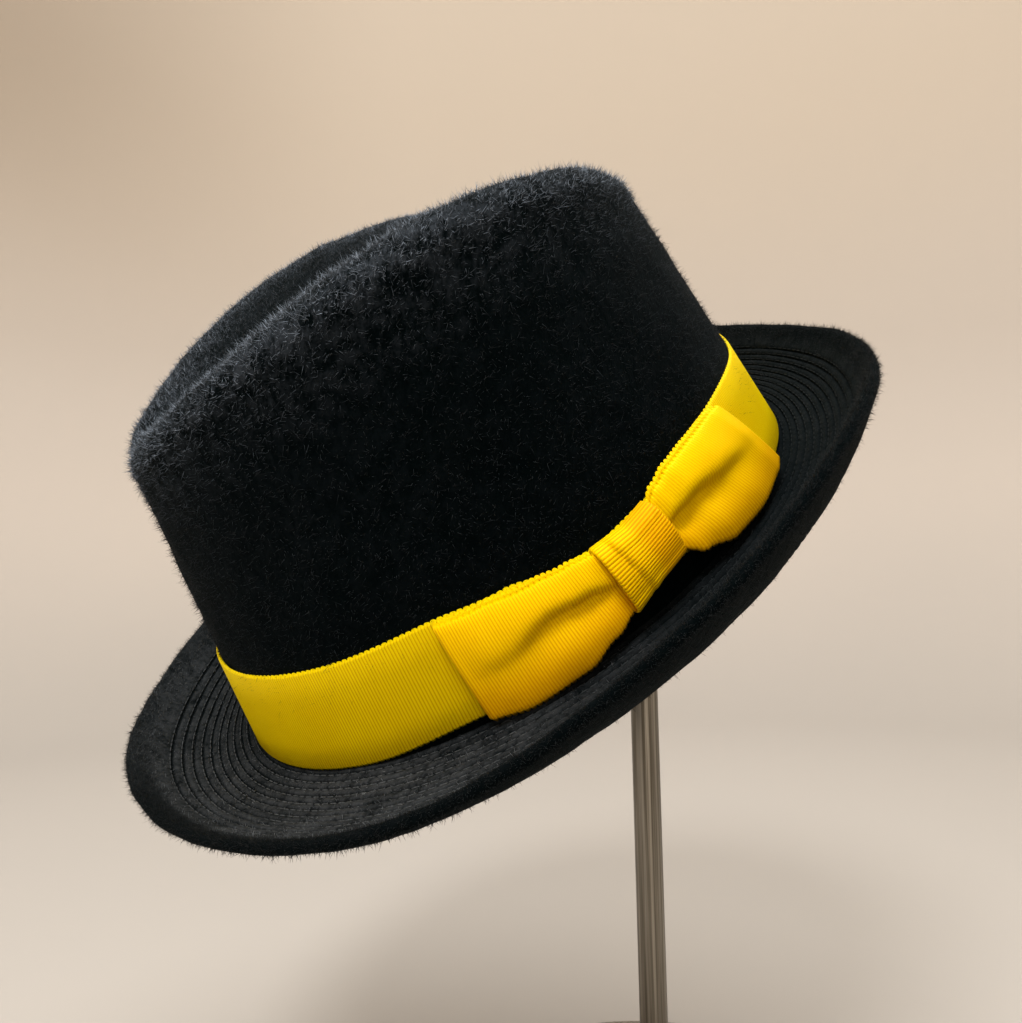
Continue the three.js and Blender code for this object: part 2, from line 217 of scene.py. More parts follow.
# A material's nodes. All but the last come from its one method, node.
class Recipe:
    def __init__(self, name):
        self.material = bpy.data.materials.new(name)
        self.material.use_nodes = True
        self.tree = self.material.node_tree
        self.tree.nodes.clear()

    def node(self, kind, settings=None, sockets=None, output=0):
        made = self.tree.nodes.new(kind)
        for key, value in (settings or {}).items():
            setattr(made, key, value)
        for key, value in (sockets or {}).items():
            if isinstance(value, Value):
                self.tree.links.new(value.socket, made.inputs[key])
            else:
                made.inputs[key].default_value = value
        return Value(self, made.outputs[output])

    def spots(self):
        return self.node("ShaderNodeTexCoord", output="Object")

    def stretched(self, vector, scale):
        return self.node("ShaderNodeMapping", sockets={"Vector": vector, "Scale": scale})

    def noise(self, vector, scale, detail, roughness):
        sockets = {"Vector": vector, "Scale": scale, "Detail": detail, "Roughness": roughness}
        return self.node("ShaderNodeTexNoise", sockets=sockets)

    # Eases a value's range from low to high into the range from toLow to toHigh
    def spread(self, value, low, high, toLow=0, toHigh=1):
        sockets = {
            "Value": value,
            "From Min": low,
            "From Max": high,
            "To Min": toLow,
            "To Max": toHigh,
        }
        return self.node("ShaderNodeMapRange", {"interpolation_type": "SMOOTHSTEP"}, sockets)

    def blended(self, share, first, second):
        sockets = {0: share, 6: first, 7: second}
        return self.node("ShaderNodeMix", {"data_type": "RGBA"}, sockets, output=2)

    def bumped(self, height, distance, strength, before=None):
        sockets = {"Height": height, "Distance": distance, "Strength": strength}
        if before is not None:
            sockets["Normal"] = before
        return self.node("ShaderNodeBump", sockets=sockets)

    # Ends the material in one shader with the given sockets. The output node has no output of
    # its own, so it is made here.
    def finished(self, sockets):
        surface = self.node("ShaderNodeBsdfPrincipled", sockets=sockets)
        end = self.tree.nodes.new("ShaderNodeOutputMaterial")
        self.tree.links.new(surface.socket, end.inputs["Surface"])
        return self.material


woolLook = {
    "deep": (0.0001, 0.0007, 0.0009, 1),
    "sheenTint": (0.55, 0.74, 0.86, 1),
    "sheen": 0.009,
    "glossTint": (0.42, 0.75, 0.82, 1),
    "gloss": 0.055,
    "napScale": 650,
    "mattingScale": 170,
    "patchScale": 28,
    "napDepth": 0.0006,
    "mattingDepth": 0.0012,
}
# The felt's pale colour, which shows where light is painted on it, and how strongly it is broken
# up: the range of its mottling and the least that shows between patches
feltLook = {
    "crown": {"paintedLit": (0.051, 0.061, 0.076, 1), "low": 0.42, "high": 0.62, "least": 0.4},
    "brim": {"paintedLit": (0.055, 0.06, 0.066, 1), "low": 0.3, "high": 0.66, "least": 0.7},
}


def makeWool(name, part):
    wool = Recipe(name)
    look = feltLook[part]
    spots = wool.spots()
    matting = wool.noise(spots, woolLook["mattingScale"], 5, 0.65)
    nap = wool.noise(wool.stretched(spots, (1, 1, 0.45)), woolLook["napScale"], 4, 0.7)
    patches = wool.noise(spots, woolLook["patchScale"], 3, 0.6)
    # The felt's paleness is painted light and shade: pale where light falls, dark where shade falls
    paintedLit = wool.node("ShaderNodeAttribute", {"attribute_name": "paintedLight"}, output="Fac")
    strands = wool.spread(matting * 0.5 + nap * 0.5, look["low"], look["high"])
    pale = strands * wool.spread(patches, 0.3, 0.7, look["least"], 1) * paintedLit
    colour = wool.blended(pale, woolLook["deep"], look["paintedLit"])
    clumps = wool.bumped(matting, woolLook["mattingDepth"], 0.8)
    return wool.finished({
        "Base Color": colour,
        "Roughness": 0.95,
        "Specular IOR Level": woolLook["gloss"],
        "Specular Tint": woolLook["glossTint"],
        "Sheen Weight": woolLook["sheen"],
        "Sheen Roughness": 0.55,
        "Sheen Tint": woolLook["sheenTint"],
        "Normal": wool.bumped(nap, woolLook["napDepth"], 0.9, clumps),
    })


hairLook = {
    "dark": (0.0002, 0.0009, 0.0011, 1),
    "crownPale": (0.46, 0.55, 0.68, 1),
    "brimPale": (0.5, 0.54, 0.59, 1),
    "gloss": 0.2,
    "sheen": 0.02,
}


def makeHair(name, part):
    hair = Recipe(name)
    shade = hair.node("ShaderNodeAttribute", {"attribute_name": "shade"}, output="Fac")
    colour = hair.blended(shade, hairLook["dark"], hairLook[part + "Pale"])
    return hair.finished({
        "Base Color": colour,
        "Roughness": 0.75,
        "Specular IOR Level": hairLook["gloss"],
        "Sheen Weight": hairLook["sheen"],
        "Sheen Roughness": 0.5,
        "Sheen Tint": woolLook["sheenTint"],
    })


# Crest is the ribbon's colour on its ribs' tops, also given to its edges as a painted highlight; valley
# is the darker, more orange colour between the ribs, a painted shade
ribbonLook = {
    "bowCrest": (1.0, 0.655, 0.0, 1),
    "bowValley": (0.72, 0.28, 0.0, 1),
    "bandCrest": (0.8, 0.61, 0.0, 1),
    "bandValley": (0.58, 0.31, 0.0, 1),
    "glossTint": (1, 0.78, 0.2, 1),
    "gloss": 0.14,
    "smoothest": 0.46,
    "roughest": 0.6,
    "cloudScale": 60,
    "threadScale": 2600,
}


def makeRibbonCloth(name, paintedShading):
    cloth = Recipe(name)
    rib = cloth.node("ShaderNodeAttribute", {"attribute_name": "rib"}, output="Fac")
    spots = cloth.spots()
    cloudy = cloth.noise(spots, ribbonLook["cloudScale"], 3, 0.5)
    threads = cloth.noise(spots, ribbonLook["threadScale"], 2, 0.6)
    crest = cloth.spread(rib, 0.08, 0.92) * cloth.spread(cloudy, 0.2, 0.8, 0.82, 1)
    colour = cloth.blended(crest, ribbonLook[paintedShading + "Valley"], ribbonLook[paintedShading + "Crest"])
    return cloth.finished({
        "Base Color": colour,
        "Roughness": cloth.spread(threads, 0.2, 0.8, ribbonLook["smoothest"], ribbonLook["roughest"]),
        "Specular IOR Level": ribbonLook["gloss"],
        "Specular Tint": ribbonLook["glossTint"],
        "Normal": cloth.bumped(threads, 0.00012, 0.5),
    })


threadLook = {
    "dark": (0.0015, 0.0022, 0.0026, 1),
    "pale": (0.12, 0.13, 0.14, 1),
    "glossTint": (0.35, 0.75, 0.85, 1),
    "gloss": 0.06,
    "twistScale": 1800,
}


def makeThread():
    thread = Recipe("stitchThread")
    twist = thread.noise(thread.spots(), threadLook["twistScale"], 2, 0.5)
    shade = thread.node("ShaderNodeAttribute", {"attribute_name": "shade"}, output="Fac")
    pale = thread.spread(twist, 0.25, 0.75, 0.3, 1) * shade
    colour = thread.blended(pale, threadLook["dark"], threadLook["pale"])
    return thread.finished({
        "Base Color": colour,
        "Roughness": thread.spread(twist, 0, 1, 0.6, 0.8),
        "Specular IOR Level": threadLook["gloss"],
        "Specular Tint": threadLook["glossTint"],
        "Normal": thread.bumped(twist, 0.0001, 0.6),
    })


steelLook = {
    "dark": (0.1, 0.087, 0.067, 1),
    "pale": (0.29, 0.265, 0.225, 1),
    "smoothest": 0.27,
    "roughest": 0.42,
    "streakScale": 900,
    "streakStretch": 0.012,
    "smudgeScale": 40,
}


def makeSteel():
    steel = Recipe("satinSteel")
    spots = steel.spots()
    drawn = steel.stretched(spots, (1, 1, steelLook["streakStretch"]))
    streaks = steel.noise(drawn, steelLook["streakScale"], 3, 0.6)
    smudges = steel.noise(spots, steelLook["smudgeScale"], 3, 0.6)
    colour = steel.blended(steel.spread(streaks, 0.3, 0.7), steelLook["dark"], steelLook["pale"])
    return steel.finished({
        "Base Color": colour,
        "Metallic": 1.0,
        "Roughness": steel.spread(smudges, 0.2, 0.8, steelLook["smoothest"], steelLook["roughest"]),
        "Normal": steel.bumped(streaks, 0.00005, 0.5),
    })


crownFelt = makeWool("crownFelt", "crown")
brimFelt = makeWool("brimFelt", "brim")
hairs = {"crown": makeHair("crownHair", "crown"), "brim": makeHair("brimHair", "brim")}
bowGrosgrain = makeRibbonCloth("bowGrosgrain", "bow")
# The band's cloth is the bow's made darker, a painted shade
bandGrosgrainShaded = makeRibbonCloth("bandGrosgrainShaded", "band")
stitchThread = makeThread()
satinSteel = makeSteel()
print("materials made")


# How closely the hairs stand, by row, on top of an even cover
closerRows = {
    "crown": ((0, 0.8, 1.15, 2.1, 2.5), (0, 0, 1, 1, 0)),
    "brim": ((0, 0.86, 0.96, 1.1), (0, 0, 1, 1)),
}
# How pale the nap is painted, by row, for the felt and its hairs: painted light on the crown's rolled
# edge, painted shade on its wall and in its crease, and the brim painted palest over its face
paintedLightRows = {
    "crown": (
        (0, 0.8, 0.95, 1.15, 2.1, 2.28, 2.5, 3),
        (0.03, 0.05, 0.22, 0.62, 0.62, 0.18, 0.03, 0.02),
    ),
    "brim": ((0, 0.2, 0.9, 1.05), (0.6, 1, 1, 0.7)),
}


def paintedLight(part, row):
    marks, amounts = paintedLightRows[part]
    return np.interp(row, marks, amounts)


crownMake = {
    "seamLength": 203.7,
    "seamWidth": 172.9,
    "topLength": 162.8,
    "topWidth": 155.6,
    "topShift": 3.2,
    "height": 115.4,
    "ridgeArch": 14,
    "highEndDrop": 5,
    "edgeRoll": 7.8,
    "highEndRoll": 6,
    "creaseDepth": 21,
    "creaseEndDepth": 5,
    "creaseEndHalfWidth": 17,
    "creaseSharpness": 1.4,
    "wall": 2.6,
    "aroundSteps": 288,
    "wallRows": 36,
    "rollRows": 10,
    "topRows": 34,
    "insideRows": 14,
    "insideRollRows": 5,
    "insideTopRows": 10,
    "lastRow": 2.997,
    "lumpSize": 0.016,
    "lumpHeight": 0.0014,
}


def wallPoint(turn, height, outset=0):
    share = height / crownMake["height"]
    halfLength = lerp(crownMake["seamLength"], crownMake["topLength"], share) / 2 + outset
    halfWidth = lerp(crownMake["seamWidth"], crownMake["topWidth"], share) / 2 + outset
    shift = crownMake["topShift"] * share
    return joined(halfLength * np.cos(turn) + shift, halfWidth * np.sin(turn), height)


# The creased top inside the rolled edge, for a place in the unit circle
def topHeight(x, y):
    roundness = np.sqrt(np.maximum(0, 1 - x * x))
    endHalf = crownMake["creaseEndHalfWidth"] / (crownMake["topWidth"] / 2)
    creaseHalf = lerp(endHalf, 1, roundness)
    depth = lerp(crownMake["creaseEndDepth"], crownMake["creaseDepth"], 1 - x * x)
    across = np.minimum(1, np.abs(y) / creaseHalf)
    valley = (1 - across ** crownMake["creaseSharpness"]) ** 2
    arch = crownMake["ridgeArch"] * x * x + crownMake["highEndDrop"] * np.maximum(x + 0.1, 0) ** 2
    return crownMake["height"] - arch - depth * valley


# The crown's outer face: row 0 to 1 up the wall, to 2 round the rolled edge, to 3 at the middle
def crownSurface(row, turn):
    row, turn = np.broadcast_arrays(np.asarray(row, float), np.asarray(turn, float))
    roll = crownMake["edgeRoll"] + crownMake["highEndRoll"] * np.maximum(np.cos(turn), 0) ** 3
    rollStart = topHeight(np.cos(turn), np.sin(turn)) - roll
    wall = wallPoint(turn, rollStart * np.minimum(row, 1))
    bend = np.clip(row - 1, 0, 1) * math.pi / 2
    rolled = wallPoint(turn, rollStart)
    tuck = roll * (np.cos(bend) - 1)
    rolled[..., 0] += tuck * np.cos(turn)
    rolled[..., 1] += tuck * np.sin(turn)
    rolled[..., 2] += roll * np.sin(bend)
    inward = np.clip(3 - row, 0, 1)
    edge = wallPoint(turn, rollStart, -roll)
    top = joined(
        lerp(crownMake["topShift"], edge[..., 0], inward),
        edge[..., 1] * inward,
        topHeight(inward * np.cos(turn), inward * np.sin(turn)),
    )
    low = (row <= 1)[..., None]
    high = (row <= 2)[..., None]
    return np.where(low, wall, np.where(high, rolled, top))


# Rows of the crown's section, from the inner middle down to the foot and up to the outer middle.
# depth is 1 on the inner face, and footDrop is 1 where the foot goes down past the brim.
def crownRows():
    make = crownMake
    outer = [
        np.linspace(0, 1, make["wallRows"], endpoint=False),
        np.linspace(1, 2, make["rollRows"], endpoint=False),
        np.linspace(2, make["lastRow"], make["topRows"]),
    ]
    inner = [
        np.linspace(0, 1, make["insideRows"], endpoint=False),
        np.linspace(1, 2, make["insideRollRows"], endpoint=False),
        np.linspace(2, make["lastRow"], make["insideTopRows"]),
    ]
    outer = np.concatenate(outer)
    inner = np.concatenate(inner)[::-1]
    rows = np.concatenate([[3], inner, [0, 0], outer, [3]])
    depth = np.concatenate([[1], np.ones(len(inner)), [1, 0], np.zeros(len(outer)), [0]])
    footDrop = np.zeros(len(rows))
    footDrop[len(inner) + 1:len(inner) + 3] = 1
    return rows, depth, footDrop


def makeCrown():
    rows, depth, footDrop = crownRows()
    last = len(rows) - 1

    def shape(u, v):
        place = np.rint(v * last).astype(int)
        turn = u * 2 * math.pi
        row = rows[place]
        _, _, normal = directionsOn(crownSurface, np.clip(row, 0, 2.995), turn)
        points = crownSurface(row, turn)
        middle = crownSurface(np.array(3.0), np.array(0.0))
        normal = np.where((row == 3)[:, None], np.array([0, 0, 1.0]), normal)
        points = np.where((row == 3)[:, None], middle, points)
        points = points - normal * (crownMake["wall"] * depth[place])[:, None]
        points[:, 2] = np.where(footDrop[place] > 0, -brimMake["wall"], points[:, 2])
        return points, {"paintedLight": paintedLight("crown", row)}

    crown = shapedGrid("crown_felt", crownMake["aroundSteps"], last, shape)
    unevenly(crown, crownMake["lumpSize"], crownMake["lumpHeight"])
    finishPiece(crown, crownFelt, ["crown"])


brimMake = {
    "reach": 40,
    "rise": 25,
    "wall": 3.4,
    "curl": 3,
    "seamGap": -0.1,
    "aroundSteps": 360,
    "stitchRows": 11,
    "firstStitch": 0.055,
    "stitchPitch": 0.0739,
    "lastStitched": 0.84,
    "grooveDepth": 0.8,
    "grooveHalf": 0.018,
    "lipDepth": 0.02,
    "edgeRows": 8,
    "underEdgeRows": 6,
    # Shares of the paleness left in the grooves, on the underside and at the near edge, a painted shade
    "groovePaintedShade": 0.12,
    "underPaintedShade": 0.04,
    "nearEdgeFrom": 0.88,
    "nearEdgeTo": 0.94,
    "nearEdgePaintedShade": 0.1,
    "nearSideFrom": 0.3,
    "nearSideOver": 0.6,
    "grooveDarkFrom": 0.3,
    "grooveDarkTo": 2,
    "lumpSize": 0.014,
    "lumpHeight": 0.0009,
}
# How pale the brim is painted, by degrees of turn: painted light round its low end, painted shade at
# its high end and toward its near side
paintedLightTurns = (
    (0, 60, 120, 150, 180, 215, 240, 262, 285, 310, 360),
    (0.14, 0.18, 0.4, 0.52, 0.7, 1.08, 0.9, 0.45, 0.2, 0.06, 0.14),
)
# Shares of the reach and the rise at every 30 degrees from the high end to the low end
brimStations = {
    "reach": (0.75, 0.79, 0.92, 1.04, 1.04, 0.88, 0.83),
    "rise": (0.39, 0.6, 0.94, 0.86, 0.61, 0.65, 0.75),
}


def brimSurface(row, turn):
    place = np.degrees(np.arccos(np.clip(np.cos(turn), -1, 1))) / 30
    reach = brimMake["reach"] * throughValues(brimStations["reach"], place)
    rise = brimMake["rise"] * throughValues(brimStations["rise"], place)
    halfLength = crownMake["seamLength"] / 2
    halfWidth = crownMake["seamWidth"] / 2
    outward = unit(joined(np.cos(turn) / halfLength, np.sin(turn) / halfWidth, 0))
    seam = wallPoint(turn, 0, brimMake["seamGap"])
    return joined(
        seam[..., 0] + outward[..., 0] * reach * row,
        seam[..., 1] + outward[..., 1] * reach * row,
        rise * np.maximum(row, 0) ** brimMake["curl"],
    )


# The brim is painted palest at its low end, painted light, and its edge is painted dark on the near
# side, a painted shade
def brimPaintedLight(row, turn):
    marks, amounts = paintedLightTurns
    amount = np.interp(np.degrees(turn), marks, amounts)
    nearSide = eased((brimMake["nearSideFrom"] - np.sin(turn)) / brimMake["nearSideOver"])
    edge = (brimMake["nearEdgeFrom"], brimMake["nearEdgeTo"])
    edgeShare = np.interp(row, edge, (1, brimMake["nearEdgePaintedShade"]))
    return paintedLight("brim", row) * amount * lerp(1, edgeShare, nearSide)


# The brim's section as row, depth below the upper face and distance past the edge
def brimSection():
    make = brimMake
    wall = make["wall"]
    deep = make["grooveDepth"]
    stitchedRows = [
        make["firstStitch"] + make["stitchPitch"] * number
        for number in range(make["stitchRows"])
    ]
    lip = make["lipDepth"]
    grooveShape = [(-0.017, lip), (-0.005, deep), (0.006, deep * 0.9), (0.02, lip)]
    section = [(0, 0, 0)]
    for middle in stitchedRows:
        section.extend((middle + beside, below, 0) for beside, below in grooveShape)
    for row in np.linspace(make["lastStitched"], 1, make["edgeRows"]):
        section.append((row, 0, 0))
    half = wall / 2
    for bend in np.linspace(0, math.pi, 9)[1:-1]:
        section.append((1, half * (1 - math.cos(bend)), half * math.sin(bend)))
    for row in np.linspace(1, make["lastStitched"], make["underEdgeRows"]):
        section.append((row, wall, 0))
    for middle in reversed(stitchedRows):
        section.append((middle + 0.02, wall, 0))
        section.append((middle, wall - deep * 0.6, 0))
    section.append((0, wall, 0))
    section.append((0, 0, 0))
    return np.array(section)


def makeBrim():
    section = brimSection()
    last = len(section) - 1

    def shape(u, v):
        row, below, past = section[np.rint(v * last).astype(int)].T
        turn = u * 2 * math.pi
        alongRow, _, normal = directionsOn(brimSurface, row, turn)
        normal = normal * np.sign(normal[:, 2:3])
        points = brimSurface(row, turn) - normal * below[:, None]
        upper = eased(1 - below / brimMake["wall"])
        # The grooves and the underside are painted darker, a painted shade
        inGroove = (below > brimMake["grooveDarkFrom"]) & (below < brimMake["grooveDarkTo"])
        inGroove = inGroove & (row < brimMake["lastStitched"])
        grooved = np.where(inGroove, brimMake["groovePaintedShade"], 1)
        paleness = brimPaintedLight(row, turn) * grooved * lerp(brimMake["underPaintedShade"], 1, upper)
        return points + unit(alongRow) * past[:, None], {"paintedLight": paleness}

    brim = shapedGrid("brim_felt", brimMake["aroundSteps"], last, shape)
    unevenly(brim, brimMake["lumpSize"], brimMake["lumpHeight"])
    finishPiece(brim, brimFelt, ["brim"])


makeCrown()
makeBrim()
lumpHeights = {"crown": crownMake["lumpHeight"], "brim": brimMake["lumpHeight"]}


ribbonMake = {
    "width": 30,
    "lift": 1.4,
    "thickness": 1,
    "gap": 0.3,
    "ribPitch": 0.94,
    "ribHeight": 0.22,
    "stepsPerRib": 4,
    "scallop": 0.55,
    "loopScallop": 0.85,
    "ribsPerScallop": 2,
    "rim": 0.02,
    "farSideFrom": 150,
    "acrossFace": 6,
}
# A slight crease across the band's near face, its place and width in lengths of the low loop
bandCrease = {
    "depth": 0.6,
    "place": -1.1,
    "lean": 0.22,
    "width": 0.03,
    "middle": 0.45,
    "reach": 0.2,
}
bowMake = {
    "fromLowEnd": 157.3,
    "thickness": 0.9,
    "gap": 0.4,
    "knotWidth": 19.3,
    "knotHeight": 18.2,
    "knotMiddle": 16.9,
    "knotStand": 5.9,
    "knotCorner": 3.6,
    "knotCrown": 0.9,
    "knotFlare": 0.2,
    "knotScallop": 0.2,
    "knotShadeFrom": 0.4,
    "knotShadeOver": 0.25,
    "foldTop": 0.23,
    "foldBottom": 0.36,
    "foldWidth": 0.035,
    "foldStep": 1.1,
    "foldJog": 0.5,
    "knotLean": 2.2,
    "knotRise": 2.7,
    "knotPinch": 0.6,
    "loopPuff": 4.4,
    "loopFold": 1.5,
    "loopGap": 0.5,
    "loopTuck": 4,
    "pleatDepth": 3.8,
    "pleatAbove": 0.1,
    "pleatBelow": 0.24,
    "topEdgeDrop": 0.75,
    "lowEdgeDrop": 0.3,
    "edgeRoundness": 2.6,
    "loopShadeTo": 0.12,
    "loopShadeOver": 0.5,
    "foldRadius": 1.6,
    "knotRibs": 28,
    "paintedShadeFactor": 0.55,
    "acrossLoop": 22,
    "acrossKnot": 32,
}
ribbonStations = {
    "along": (-2.1, -1.3, -0.8, -0.45, -0.2, 0.2, 0.5, 0.8, 1.3, 2.1),
    "low": (-0.02, 0.05, 0.05, 0.09, 0.14, 0.24, 0.2, 0.1, 0.03, -0.02),
    "high": (1, 1.03, 0.97, 0.86, 0.83, 0.87, 0.98, 1.04, 1.05, 1),
}
lowLoop = {
    "side": -1,
    "knotOpening": 1.2,
    "ribShow": 0.8,
    "length": 44,
    "slant": 1.1,
    "ribPitch": 0.8,
    "stations": {
        "along": (0, 0.18, 0.4, 0.74, 1),
        "low": (0, 0.36, 0.78, 0.94, 0.75),
        "high": (0, 0.3, 0.6, 0.95, 1.1),
        "puff": (0.3, 0.7, 1, 0.8, 0.35),
        "pleat": (0.3, 0.9, 0.85, 0.25, 0),
        "place": (0.42, 0.53, 0.6, 0.45, 0.4),
    },
}
highLoop = {
    "side": 1,
    "knotOpening": 1,
    "ribShow": 0.55,
    "length": 45.4,
    "slant": 10.5,
    "ribPitch": 0.88,
    "stations": {
        "along": (0, 0.12, 0.3, 0.55, 0.85, 1),
        "low": (0, 0.46, 0.76, 0.82, 0.77, 0.72),
        "high": (0, 0.7, 1.2, 1.4, 1.45, 1.25),
        "puff": (0.3, 0.6, 0.95, 1, 0.7, 0.35),
        "pleat": (0.3, 1, 1, 0.55, 0.1, 0),
        "place": (0.45, 0.52, 0.57, 0.52, 0.45, 0.4),
    },
}


def ribbonFace(turn, height, stand):
    outset = ribbonMake["gap"] + ribbonMake["thickness"] + stand
    return wallPoint(turn, ribbonMake["lift"] + height, outset)


# Lengths round the ribbon's face at mid height, from the low end by the near side
def measureRibbon():
    turns = math.pi + np.linspace(0, 2 * math.pi, 2881)
    line = ribbonFace(turns, np.full(len(turns), ribbonMake["width"] / 2), 0)
    steps = np.linalg.norm(np.diff(line, axis=0), axis=1)
    return turns, np.concatenate([[0], np.cumsum(steps)])


ribbonTurns, ribbonLengths = measureRibbon()
ribbonRound = ribbonLengths[-1]


def bowPoint(length, height, stand):
    return ribbonFace(np.interp(length, ribbonLengths, ribbonTurns), height, stand)


def ribProfile(count):
    phase = count - np.floor(count)
    return np.sqrt(np.clip(1 - (2 * phase - 1) ** 2, 0, 1))


def scallopProfile(count):
    return ribProfile(count / ribbonMake["ribsPerScallop"])


# The section of a strip of ribbon, once round it: the share across, face as 1 on its front, -1 on
# its back and 0 at both edges, and edge as -1 at the low edge, 1 at the high one and 0 between
def stripSection(v, faceSteps):
    place = np.rint(v * 2 * faceSteps).astype(int)
    onFront = place <= faceSteps
    rim = ribbonMake["rim"]
    marks = np.concatenate([[0], np.linspace(rim, 1 - rim, faceSteps - 1), [1]])
    across = marks[np.where(onFront, place, 2 * faceSteps - place)]
    face = np.where(onFront, 1.0, -1.0)
    face[(place == 0) | (place == faceSteps) | (place == 2 * faceSteps)] = 0
    edge = np.where(across == 0, -1.0, np.where(across == 1, 1.0, 0.0))
    return across, face, edge


def makeBand():
    ribs = 2 * round(ribbonRound / ribbonMake["ribPitch"] / 2)
    faceSteps = ribbonMake["acrossFace"]

    def shape(u, v):
        across, face, edge = stripSection(v, faceSteps)
        length = u * ribbonRound
        fromKnot = length - bowMake["fromLowEnd"]
        farSide = length > ribbonRound / 2 + ribbonMake["farSideFrom"]
        fromKnot = np.where(farSide, -ribbonRound, fromKnot)
        station = stationAt(
            ribbonStations,
            fromKnot / np.where(fromKnot < 0, lowLoop["length"], highLoop["length"]),
        )
        scallop = ribbonMake["scallop"] * scallopProfile(u * ribs)
        height = ribbonMake["width"] * lerp(station["low"], station["high"], across)
        height = height + edge * scallop
        rib = ribProfile(u * ribs)
        middle = -ribbonMake["thickness"] / 2
        proud = face * (ribbonMake["thickness"] / 2 + ribbonMake["ribHeight"] * (rib - 0.5))
        along = fromKnot / lowLoop["length"]
        offCrease = along - bandCrease["place"] - bandCrease["lean"] * (across - 0.5)
        crease = np.exp(-((offCrease / bandCrease["width"]) ** 2)) * (face > 0)
        crease = crease * np.exp(-(((across - bandCrease["middle"]) / bandCrease["reach"]) ** 2))
        proud = proud - bandCrease["depth"] * crease
        # rib is 1 at the edges, a painted highlight, and low between the ribs, a painted shade
        return bowPoint(length, height, middle + proud), {"rib": np.where(face == 0, 1, rib)}

    steps = ribs * ribbonMake["stepsPerRib"]
    band = shapedGrid("ribbon_band", steps, 2 * faceSteps, shape)
    finishPiece(band, bandGrosgrainShaded, ["hat_ribbon"])


def knotShift(height):
    return bowMake["knotLean"] * (bowMake["knotMiddle"] - height) / bowMake["knotHeight"]


def knotClimb(along):
    return bowMake["knotRise"] * along / bowMake["knotWidth"]


# A strip of ribbon with ribs across it, over a surface of length along and share across. Its
# two ends close to a thin edge. ribShow is how far the ribs show, and the last argument gives, by
# the share across, how far the ribbon's pale colour is kept, less where shade is painted.
def makeStrip(name, surface, ribs, faceSteps, scallop, ribShow, paintedShading):
    stepsPerRib = ribbonMake["stepsPerRib"]
    lastStep = ribs * stepsPerRib

    def shape(u, v):
        across, face, edge = stripSection(v, faceSteps)
        rib = 1 - ribShow * (1 - ribProfile(u * ribs))
        _, alongAcross, normal = directionsOn(surface, u, np.clip(across, 0.002, 0.998))
        closed = np.where((u < 0.4 / lastStep) | (u > 1 - 0.4 / lastStep), 0.0, 1.0)
        proud = bowMake["thickness"] / 2 + ribbonMake["ribHeight"] * (rib - 0.5)
        points = surface(u, across) + normal * (face * proud * closed)[:, None]
        beyond = edge * scallop * scallopProfile(u * ribs)
        # rib is 1 at the edges, a painted highlight, lower between the ribs, a painted shade, and
        # darker still where the given shading says, a painted shade
        values = {"rib": np.where(face == 0, 1, rib) * paintedShading(across)}
        return points + unit(alongAcross) * beyond[:, None], values

    return shapedGrid(name, lastStep, 2 * faceSteps, shape)


def makeKnot():
    make = bowMake
    half = make["knotHeight"] / 2 - make["thickness"] / 2
    foot = make["gap"] + make["thickness"] / 2
    corner = make["knotCorner"]
    bends = np.linspace(0, math.pi / 2, 9)
    upX = -half + corner - corner * np.cos(bends)
    upY = make["knotStand"] - corner + corner * np.sin(bends)
    overX = np.linspace(-half + corner, half - corner, 21)[1:-1]
    overY = make["knotStand"] + make["knotCrown"] * (1 - (overX / (half - corner)) ** 2)
    pathX = np.concatenate([[-half], upX, overX, -upX[::-1], [half]])
    pathY = np.concatenate([[foot], upY, overY, upY[::-1], [foot]])
    lengths = np.concatenate([[0], np.cumsum(np.hypot(np.diff(pathX), np.diff(pathY)))])

    def surface(u, across):
        length = np.clip(u, 0, 1) * lengths[-1]
        flare = 1 + make["knotFlare"] * np.maximum(1 - 2 * across, 0)
        height = make["knotMiddle"] + np.interp(length, lengths, pathX) * flare
        stand = np.interp(length, lengths, pathY)
        along = make["knotWidth"] * (across - 0.5)
        place = make["fromLowEnd"] + knotShift(height) + along
        climb = (height - make["knotMiddle"]) / make["knotHeight"] + 0.5
        fold = lerp(make["foldBottom"], make["foldTop"], climb)
        overlap = eased((across - fold) / make["foldWidth"] + 0.5)
        stand = stand + make["foldStep"] * (overlap - 0.5) - make["foldStep"] * 0.9 * (across - 0.5)
        return bowPoint(place, height + knotClimb(along) + make["foldJog"] * overlap, stand)

    # The ribbon is painted darker past the knot's fold, a painted shade
    def paintedShading(across):
        past = eased((across - make["knotShadeFrom"]) / make["knotShadeOver"])
        return lerp(1, make["paintedShadeFactor"], past)

    scallop = make["knotScallop"]
    knot = makeStrip("bow_knot_ribbon", surface, make["knotRibs"], make["acrossKnot"], scallop, 1, paintedShading)
    finishPiece(knot, bowGrosgrain, ["bow_knot"])


